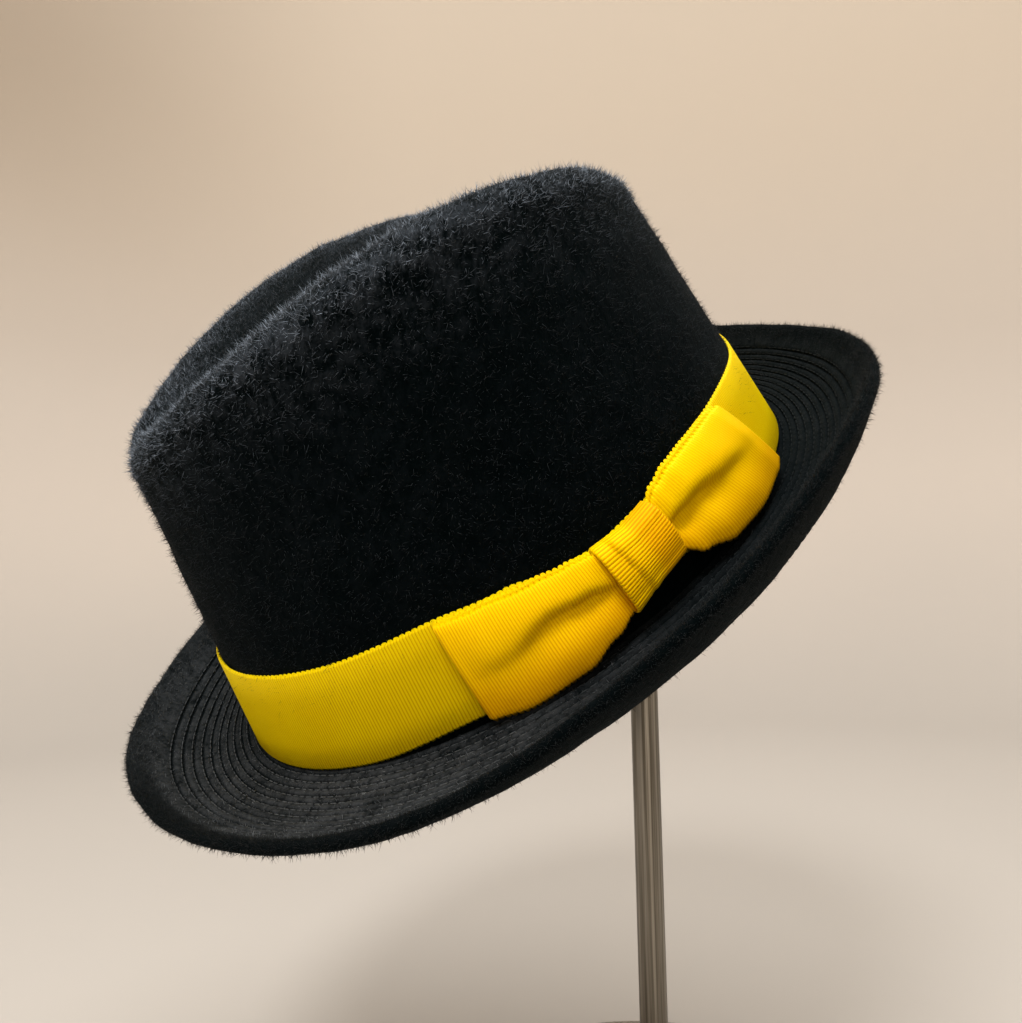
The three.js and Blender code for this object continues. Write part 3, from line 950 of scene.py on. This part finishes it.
def makeLoop(name, loop, standsFor):
    make = bowMake
    side = loop["side"]
    backStand = make["gap"] + make["thickness"] / 2
    frontBase = backStand + make["thickness"] + make["loopGap"]
    insideKnot = make["knotHeight"] / 2 * loop["knotOpening"] - make["thickness"] - make["knotPinch"]
    foldStart = 1 - make["loopFold"] / loop["length"]
    tuck = -make["loopTuck"] / loop["length"]
    reach = foldStart - tuck
    foldLength = math.pi * make["foldRadius"] / loop["length"]
    total = 2 * reach + foldLength
    ribs = round(total * loop["length"] / loop["ribPitch"])

    def frontStand(station, across):
        away = across - station["place"]
        spread = np.where(away > 0, make["pleatAbove"], make["pleatBelow"])
        dip = make["pleatDepth"] * station["pleat"] * np.exp(-((away / spread) ** 2))
        drop = np.where(across > 0.5, make["topEdgeDrop"], make["lowEdgeDrop"])
        rounded = 1 - drop * np.abs(2 * across - 1) ** make["edgeRoundness"]
        return frontBase + np.maximum(make["loopPuff"] * station["puff"] * rounded - dip, 0)

    def surface(u, across):
        gone = u * total
        bend = np.clip((gone - reach) / foldLength, 0, 1) * math.pi
        folding = foldStart + (1 - foldStart) * np.sin(bend)
        comingBack = total - gone + tuck
        pastFront = np.where(gone <= reach + foldLength, folding, comingBack)
        along = np.where(gone <= reach, tuck + gone, pastFront)
        station = stationAt(loop["stations"], along)
        top = frontStand(station, across)
        stand = lerp(backStand, top, (1 + np.cos(bend)) / 2)
        fromKnot = along * (loop["length"] + loop["slant"] * (0.5 - across))
        underKnot = side * (make["knotWidth"] / 2 + np.minimum(fromKnot, 0))
        gathered = make["knotMiddle"] + knotClimb(underKnot)
        lowEdge = lerp(gathered - insideKnot, 0, station["low"])
        highEdge = lerp(gathered + insideKnot, ribbonMake["width"], station["high"])
        height = lerp(lowEdge, highEdge, across)
        place = make["fromLowEnd"] + knotShift(height) + side * (make["knotWidth"] / 2 + fromKnot)
        return bowPoint(place, height, stand)

    # It is painted darker along the low side of each loop too, a painted shade
    def paintedShading(across):
        return lerp(make["paintedShadeFactor"], 1, eased((across - make["loopShadeTo"]) / make["loopShadeOver"]))

    scallop = ribbonMake["loopScallop"]
    strip = makeStrip(name, surface, ribs, make["acrossLoop"], scallop, loop["ribShow"], paintedShading)
    flatLength = round(total * loop["length"] / 1000, 3)
    finishPiece(strip, bowGrosgrain, [standsFor])


makeBand()
makeLoop("bow_low_ribbon", lowLoop, "bow_loop_low")
makeLoop("bow_high_ribbon", highLoop, "bow_loop_high")
makeKnot()


# Copies of a small model joined in one mesh. Each copy has its root, its own x, y and z axes in
# millimetres, a shade for its material and, where the model bends, a throw of its tip.
def joinedCopies(name, model, roots, xAxes, yAxes, zAxes, shades, throw=None):
    flat = np.zeros(len(model.data.vertices) * 3)
    model.data.vertices.foreach_get("co", flat)
    local = flat.reshape(-1, 3)
    faces = [list(face.vertices) for face in model.data.polygons]
    count = len(roots)
    spots = (
        roots[:, None, :]
        + xAxes[:, None, :] * local[None, :, 0:1]
        + yAxes[:, None, :] * local[None, :, 1:2]
        + zAxes[:, None, :] * local[None, :, 2:3]
    )
    if throw is not None:
        spots = spots + throw[:, None, :] * local[None, :, 2:3] ** 2
    mesh = bpy.data.meshes.new(name)
    sides = np.array([len(face) for face in faces])
    corners = np.concatenate([np.array(face) for face in faces])
    mesh.vertices.add(count * len(local))
    mesh.vertices.foreach_set("co", ontoStand(spots.reshape(-1, 3)).ravel())
    offsets = (np.arange(count) * len(local))[:, None]
    loops = (corners[None, :] + offsets).ravel()
    starts = np.concatenate([[0], np.cumsum(sides)[:-1]])
    mesh.loops.add(len(loops))
    mesh.loops.foreach_set("vertex_index", loops)
    mesh.polygons.add(count * len(faces))
    loopOffsets = (np.arange(count) * len(corners))[:, None]
    mesh.polygons.foreach_set("loop_start", (starts[None, :] + loopOffsets).ravel())
    mesh.update(calc_edges=True)
    mesh.validate()
    mesh.polygons.foreach_set("use_smooth", np.ones(len(mesh.polygons), bool))
    layer = mesh.attributes.new("shade", "FLOAT", "POINT")
    layer.data.foreach_set("value", np.repeat(shades, len(local)).astype(np.float32))
    piece = bpy.data.objects.new(name, mesh)
    bpy.context.scene.collection.objects.link(piece)
    return piece


# A three-sided hair one unit long and one across, drawn to a point, with its root at the origin
def modelHair():
    deselectAll()
    bpy.ops.mesh.primitive_circle_add(vertices=3, radius=0.5, fill_type="NGON")
    hair = bpy.context.object
    bpy.ops.object.mode_set(mode="EDIT")
    bpy.ops.mesh.select_all(action="SELECT")
    bpy.ops.mesh.extrude_region_move(TRANSFORM_OT_translate={"value": (0, 0, 1)})
    bpy.ops.transform.resize(value=(0, 0, 1))
    bpy.ops.mesh.select_all(action="SELECT")
    bpy.ops.mesh.remove_doubles(threshold=1e-4)
    bpy.ops.mesh.normals_make_consistent(inside=False)
    bpy.ops.object.mode_set(mode="OBJECT")
    return hair


# Places picked at random over a surface, closer together at its edges, out of eight times as
# many tries
def scatterOn(surface, part, rows, make, rng):
    count = make["count"]
    tries = count * 8
    row = rng.uniform(rows[0], rows[1], tries)
    turn = rng.uniform(0, 2 * math.pi, tries)
    alongRow, alongTurn, _ = directionsOn(surface, row, turn)
    area = np.linalg.norm(np.cross(alongRow, alongTurn), axis=1)
    area = area * lerp(1, make["thicker"], np.interp(row, *closerRows[part]))
    picked = rng.choice(tries, count, replace=False, p=area / area.sum())
    return row[picked], turn[picked]


# Lengths and widths in millimetres. stand is how far a hair rises from lying flat, 0 to 1.
# thicker is how many times more closely they grow at the edges, and paler scales their shade, which
# carries the felt's painted light. On the brim, inGroove is how long they are in its grooves,
# underShare the share of them on its underside, and the last key how pale they still are at the edge's
# low side, a painted shade.
hairMake = {
    "crown_nap": {
        "count": 48500, "length": (0.9, 2.4), "width": 0.17, "stand": 0.42, "seed": 11,
        "thicker": 3, "paler": 1.3,
    },
    "crown_fuzz": {
        "count": 37000, "length": (1.3, 4.2), "width": 0.16, "stand": 0.72, "seed": 12,
        "thicker": 2.5, "paler": 1.3,
    },
    "brim_nap": {
        "count": 39000, "length": (0.7, 1.7), "width": 0.14, "stand": 0.42, "seed": 13,
        "thicker": 2, "paler": 0.75, "inGroove": 0.3, "underShare": 0.4, "edgePaintedShade": 0.1,
    },
    "brim_fuzz": {
        "count": 20000, "length": (1.1, 3.2), "width": 0.15, "stand": 0.75, "seed": 14,
        "thicker": 16, "paler": 0.75, "inGroove": 0.4, "underShare": 0.3, "edgePaintedShade": 0.1,
    },
}


# The rows that hairs grow on. Past row 1 of the brim they grow round its outer edge.
hairRows = {"crown": (0.2, 2.995), "brim": (0.02, 1.1)}
# How the hairs lie: how far they turn from the way round the hat, how much their rise varies, the
# least rise, and the least share of their length. curl and droop throw their tips, as shares of
# the length. Their roots are sunk that many millimetres. A higher paleRarely is fewer pale hairs.
hairLie = {
    "swirl": 0.65,
    "riseVaries": 0.2,
    "leastRise": 0.12,
    "leastLength": 0.6,
    "twist": 0.3,
    "curl": 0.32,
    "droop": 0.18,
    "sunk": 0.15,
    "paleRarely": 2.6,
}


# The brim's hairs grow on both of its faces and round its outer edge, and are shorter in its
# grooves. They take the brim's painted light, with painted shade on its underside and round the edge's
# low side
def overBrim(make, rng, row, turn, roots, outward, normal):
    count = (row - brimMake["firstStitch"]) / brimMake["stitchPitch"]
    fromGroove = np.abs(count - np.rint(count)) * brimMake["stitchPitch"]
    inGroove = (fromGroove < brimMake["grooveHalf"]) & (row < brimMake["lastStitched"])
    shorter = np.where(inGroove, make["inGroove"], 1)
    normal = normal * np.sign(normal[:, 2:3])
    under = rng.random(len(row)) < make["underShare"]
    roots = np.where(under[:, None], roots - normal * brimMake["wall"], roots)
    onEdge = row > 1
    bend = rng.uniform(0, math.pi, len(row))[:, None]
    half = brimMake["wall"] / 2
    edgeRoots = brimSurface(np.clip(row, 0, 1), turn)
    edgeRoots = edgeRoots - normal * half * (1 - np.cos(bend)) + outward * half * np.sin(bend)
    edgeNormal = normal * np.cos(bend) + outward * np.sin(bend)
    normal = np.where(under[:, None], -normal, normal)
    roots = np.where(onEdge[:, None], edgeRoots, roots)
    normal = np.where(onEdge[:, None], edgeNormal, normal)
    paleness = brimPaintedLight(row, turn) * make["paler"]
    paleness = paleness * np.where(under, brimMake["underPaintedShade"], 1)
    paleness = paleness * np.where(onEdge, lerp(1, make["edgePaintedShade"], bend[:, 0] / math.pi), 1)
    return roots, normal, paleness, shorter


def growHair(name, surface, part):
    make = hairMake[name]
    lie = hairLie
    rng = np.random.default_rng(make["seed"])
    row, turn = scatterOn(surface, part, hairRows[part], make, rng)
    roots = surface(row, turn)
    alongRow, alongTurn, normal = directionsOn(surface, row, turn)
    outward = unit(alongRow)
    if part == "brim":
        over = overBrim(make, rng, row, turn, roots, outward, normal)
        roots, normal, paleness, shorter = over
    else:
        # The crown's hairs take its painted light and shade
        paleness = paintedLight(part, row) * make["paler"]
        shorter = 1
    swirl = rng.normal(0, lie["swirl"], len(row)) + math.pi * rng.integers(0, 2, len(row))
    lumps = bpy.data.textures[part + "_feltLumps"]
    swell = np.array([lumps.evaluate(place)[3] for place in ontoStand(roots)]) - 0.5
    roots = roots + normal * (swell * lumpHeights[part] * 1000)[:, None]
    flat = unit(alongTurn) * np.cos(swirl)[:, None] + outward * np.sin(swirl)[:, None]
    rise = rng.normal(make["stand"], lie["riseVaries"], len(row))
    rise = np.clip(rise, lie["leastRise"], 1)[:, None]
    grow = unit(normal * rise + flat * (1 - rise))
    length = rng.uniform(*make["length"], len(row))
    length = length * rng.uniform(lie["leastLength"], 1, len(row)) * shorter
    side = unit(np.cross(grow, normal + flat * lie["twist"]))
    other = np.cross(grow, side)
    curl = rng.normal(0, lie["curl"], len(row)) * length
    throw = side * curl[:, None] - normal * (length * lie["droop"])[:, None]
    model = modelHair()
    piece = joinedCopies(
        name,
        model,
        roots - normal * lie["sunk"],
        side * make["width"],
        other * make["width"],
        grow * length[:, None],
        rng.beta(1, lie["paleRarely"], len(row)) * paleness,
        throw,
    )
    bpy.data.objects.remove(model)
    finishPiece(piece, hairs[part])


growHair("crown_nap", crownSurface, "crown")
growHair("crown_fuzz", crownSurface, "crown")
growHair("brim_nap", brimSurface, "brim")
growHair("brim_fuzz", brimSurface, "brim")


# Stitches in millimetres. sink is how deep they lie, uneven how much their spacing varies, and
# besideGroove how far past a groove's row they are, as a row.
threadMake = {
    "stitchLength": 2.9,
    "gap": 0.1,
    "width": 0.42,
    "height": 0.34,
    "sink": 0.18,
    "uneven": 0.05,
    "besideGroove": 0.012,
    "linePoints": 1441,
}


# A stitch one unit long, wide and high, as a bead of a few faces
def modelStitch():
    deselectAll()
    bpy.ops.mesh.primitive_uv_sphere_add(segments=5, ring_count=3, radius=0.5)
    return bpy.context.object


# Rows of stitches in the brim's grooves, on one of its faces. Their shade is the brim's painted light
# and shade
def sewBrim(name, under, seed):
    rng = np.random.default_rng(seed)
    make = threadMake
    rows = []
    turns = []
    for number in range(brimMake["stitchRows"]):
        row = brimMake["firstStitch"] + brimMake["stitchPitch"] * number + make["besideGroove"]
        fine = np.linspace(0, 2 * math.pi, make["linePoints"])
        line = brimSurface(np.full(len(fine), row), fine)
        gone = np.concatenate([[0], np.cumsum(np.linalg.norm(np.diff(line, axis=0), axis=1))])
        count = int(gone[-1] / (make["stitchLength"] + make["gap"]))
        places = np.arange(count) + rng.uniform(0, 1) + rng.normal(0, make["uneven"], count)
        turns.append(np.interp(places / count * gone[-1], gone, fine))
        rows.append(np.full(count, row))
    row = np.concatenate(rows)
    turn = np.concatenate(turns)
    _, alongTurn, normal = directionsOn(brimSurface, row, turn)
    normal = normal * np.sign(normal[:, 2:3])
    roots = brimSurface(row, turn)
    if under:
        roots = roots - normal * (brimMake["wall"] - make["sink"])
    else:
        roots = roots - normal * make["sink"]
    forward = unit(alongTurn)
    sideways = unit(np.cross(normal, forward))
    model = modelStitch()
    piece = joinedCopies(
        name,
        model,
        roots,
        sideways * make["width"],
        normal * make["height"],
        forward * make["stitchLength"],
        np.clip(brimPaintedLight(row, turn), 0, 1),
    )
    bpy.data.objects.remove(model)
    finishPiece(piece, stitchThread)


sewBrim("brim_stitches_upper", False, 21)
sewBrim("brim_stitches_lower", True, 22)


# Stand sizes are in metres
standMake = {
    "footRadius": 0.075,
    "footThickness": 0.006,
    "collarRadius": 0.009,
    "collarHeight": 0.008,
    "socketFloor": 0.002,
    "postRadius": 0.0048,
    "postGap": 0.0003,
    "bendAboveSeam": 0.02,
    "bendPull": 0.045,
    "restRadius": 0.022,
    "restThickness": 0.003,
    "restGap": 0.0003,
    "footEdge": 0.0008,
    "restEdge": 0.0006,
}


def roundedEdges(piece, width):
    takeUp(piece)
    bevel = piece.modifiers.new("edges", "BEVEL")
    bevel.width = width
    bevel.segments = 3
    bevel.limit_method = "ANGLE"
    bevel.angle_limit = math.radians(40)
    bpy.ops.object.modifier_apply(modifier=bevel.name)
    bpy.ops.object.shade_smooth_by_angle(angle=math.radians(35))


def makeFoot():
    make = standMake
    deselectAll()
    bpy.ops.mesh.primitive_cylinder_add(
        vertices=144, radius=make["footRadius"], depth=make["footThickness"],
        location=(0, 0, make["footThickness"] / 2),
    )
    foot = bpy.context.object
    foot.name = "foot_plate"
    bpy.ops.object.transform_apply(location=True, rotation=True, scale=True)
    bpy.ops.object.mode_set(mode="EDIT")
    bpy.ops.mesh.select_all(action="DESELECT")
    bpy.ops.object.mode_set(mode="OBJECT")
    for face in foot.data.polygons:
        face.select = face.normal.z > 0.9
    bpy.ops.object.mode_set(mode="EDIT")
    bpy.ops.mesh.inset(thickness=make["footRadius"] - make["collarRadius"])
    bpy.ops.mesh.extrude_region_move(TRANSFORM_OT_translate={"value": (0, 0, make["collarHeight"])})
    socket = make["postRadius"] + make["postGap"]
    bpy.ops.mesh.inset(thickness=make["collarRadius"] - socket)
    drop = make["socketFloor"] - make["footThickness"] - make["collarHeight"]
    bpy.ops.mesh.extrude_region_move(TRANSFORM_OT_translate={"value": (0, 0, drop)})
    bpy.ops.object.mode_set(mode="OBJECT")
    roundedEdges(foot, make["footEdge"])
    finishPiece(foot, satinSteel, ["stand_foot"])


def restTop():
    middle = topHeight(np.array(0.0), np.array(0.0))
    return float(middle) - crownMake["wall"] - standMake["restGap"] * 1000


def makeRest():
    make = standMake
    deselectAll()
    bpy.ops.mesh.primitive_cylinder_add(
        vertices=96, radius=make["restRadius"], depth=make["restThickness"],
    )
    rest = bpy.context.object
    rest.name = "rest_plate"
    roundedEdges(rest, make["restEdge"])
    middle = np.array([crownMake["topShift"], 0, restTop() - make["restThickness"] * 500])
    place = Matrix.Translation(Vector(ontoStand(middle))) @ Matrix(hatAxes.tolist()).to_4x4()
    rest.data.transform(place)
    finishPiece(rest, satinSteel, ["stand_rest"])


def makePost():
    make = standMake
    top = restTop() - (make["restThickness"] + make["restGap"]) * 1000
    shift = crownMake["topShift"]
    end = Vector(ontoStand(np.array([shift, 0, top])))
    beforeEnd = Vector(ontoStand(np.array([shift, 0, top - make["bendPull"] * 1000])))
    start = Vector((0, 0, make["socketFloor"] + make["postGap"]))
    bend = Vector((0, 0, hatPlace["seamHeight"] / 1000 + make["bendAboveSeam"]))
    deselectAll()
    bpy.ops.curve.primitive_bezier_curve_add()
    post = bpy.context.object
    post.name = "post_tube"
    spline = post.data.splines[0]
    spline.bezier_points.add(1)
    stops = [
        (start, start, bend.lerp(start, 0.67)),
        (bend, bend.lerp(start, 0.33), bend + Vector((0, 0, make["bendPull"]))),
        (end, beforeEnd, end),
    ]
    for point, (place, left, right) in zip(spline.bezier_points, stops):
        point.handle_left_type = "FREE"
        point.handle_right_type = "FREE"
        point.co = place
        point.handle_left = left
        point.handle_right = right
    post.data.resolution_u = 40
    post.data.bevel_depth = make["postRadius"]
    post.data.bevel_resolution = 10
    post.data.use_fill_caps = True
    takeUp(post)
    bpy.ops.object.convert(target="MESH")
    post = bpy.context.object
    mergeAndTurnOut(post)
    bpy.ops.object.shade_smooth_by_angle(angle=math.radians(35))
    finishPiece(post, satinSteel, ["stand_post"])


makeFoot()
makeRest()
makePost()


# A bowl of floor and wall round the stand, in metres
stageMake = {
    "radius": 1.7,
    "height": 2.6,
    "corner": 0.7,
    "wall": (0.57, 0.495, 0.41, 1),
    "lowWall": (0.58, 0.525, 0.47, 1),
    "floor": (0.43, 0.405, 0.375, 1),
    "wallCornerShade": (0.38, 0.315, 0.25, 1),
}


def makeStage():
    make = stageMake
    deselectAll()
    bpy.ops.mesh.primitive_circle_add(vertices=96, radius=make["radius"], fill_type="NGON")
    bowl = bpy.context.object
    bowl.name = "pale_floor"
    bpy.ops.object.mode_set(mode="EDIT")
    bpy.ops.mesh.select_mode(type="EDGE")
    bpy.ops.mesh.select_all(action="SELECT")
    bpy.ops.mesh.region_to_loop()
    bpy.ops.mesh.extrude_edges_move(TRANSFORM_OT_translate={"value": (0, 0, make["height"])})
    bpy.ops.mesh.select_all(action="DESELECT")
    bpy.ops.object.mode_set(mode="OBJECT")
    for edge in bowl.data.edges:
        edge.select = all(abs(bowl.data.vertices[end].co.z) < 1e-6 for end in edge.vertices)
    bpy.ops.object.mode_set(mode="EDIT")
    bpy.ops.mesh.bevel(offset=make["corner"], segments=16, profile=0.5, affect="EDGES")
    bpy.ops.object.mode_set(mode="OBJECT")
    bpy.ops.object.shade_smooth()
    paint = Recipe("paleWall")
    spots = paint.spots()
    height = paint.node("ShaderNodeSeparateXYZ", sockets={0: spots}, output=2)
    drift = paint.noise(spots, 0.9, 2, 0.5)
    rise = paint.spread(height + drift * 0.3, 0.05, 0.6)
    aloft = paint.spread(height + drift * 0.3, 0.7, 1.5)
    colour = paint.blended(aloft, paint.blended(rise, make["floor"], make["lowWall"]), make["wall"])
    # The wall's upper left is painted darker, a painted shade
    across = paint.node("ShaderNodeSeparateXYZ", sockets={0: spots}, output=0)
    leftward = 1 - paint.spread(across, -0.9, 0.1)
    colour = paint.blended(aloft * leftward, colour, make["wallCornerShade"])
    matt = paint.finished({
        "Base Color": colour,
        "Roughness": 0.85,
        "Specular IOR Level": 0.2,
    })
    bowl.data.materials.append(matt)


lights = {
    "ceiling": {
        "place": (0, 0, 2.45), "aim": (0, 0, 0), "size": 2.4, "watts": 60, "spread": 180,
        "colour": (1, 0.97, 0.92),
    },
    "frontLeft": {
        "place": (-0.6, -0.9, 1.25), "aim": (0, 0, 0.25), "size": 0.45, "watts": 7, "spread": 120,
        "colour": (1, 0.98, 0.95),
    },
    "frontFill": {
        "place": (-0.2, -1.3, 0.4), "aim": (0, 0, 0.25), "size": 0.9, "watts": 3, "spread": 180,
        "colour": (1, 0.87, 0.72),
    },
}


def makeLights():
    for name, light in lights.items():
        lamp = bpy.data.lights.new(name, "AREA")
        lamp.shape = "DISK"
        lamp.size = light["size"]
        lamp.energy = light["watts"]
        lamp.spread = math.radians(light["spread"])
        lamp.color = light["colour"]
        lampObject = bpy.data.objects.new(name, lamp)
        lampObject.location = light["place"]
        aim = Vector(light["aim"]) - Vector(light["place"])
        lampObject.rotation_euler = aim.to_track_quat("-Z", "Y").to_euler()
        bpy.context.scene.collection.objects.link(lampObject)
    world = bpy.data.worlds.new("softRoom")
    world.use_nodes = True
    back = world.node_tree.nodes["Background"]
    back.inputs["Color"].default_value = (0.92, 0.94, 1, 1)
    back.inputs["Strength"].default_value = 0.3
    bpy.context.scene.world = world


cameraMake = {
    "place": (-0.1079, -0.3131, 0.1866),
    "forward": (0.19119, 0.97768, 0.08716),
    "right": (0.98155, -0.19036, -0.01788),
    "lens": 32.24,
}


def makeCamera():
    forward = Vector(cameraMake["forward"]).normalized()
    right = Vector(cameraMake["right"])
    right = (right - forward * right.dot(forward)).normalized()
    up = right.cross(forward)
    camera = bpy.data.cameras.new("photoView")
    camera.lens = cameraMake["lens"]
    camera.sensor_width = 36
    camera.clip_start = 0.01
    camera.clip_end = 50
    cameraObject = bpy.data.objects.new("photoView", camera)
    turning = Matrix((right, up, -forward)).transposed().to_4x4()
    cameraObject.matrix_world = Matrix.Translation(Vector(cameraMake["place"])) @ turning
    bpy.context.scene.collection.objects.link(cameraObject)
    bpy.context.scene.camera = cameraObject


makeStage()
makeLights()
makeCamera()
bpy.context.scene.view_settings.view_transform = "Standard"
print("added triangles in all", sum(addedTriangles))
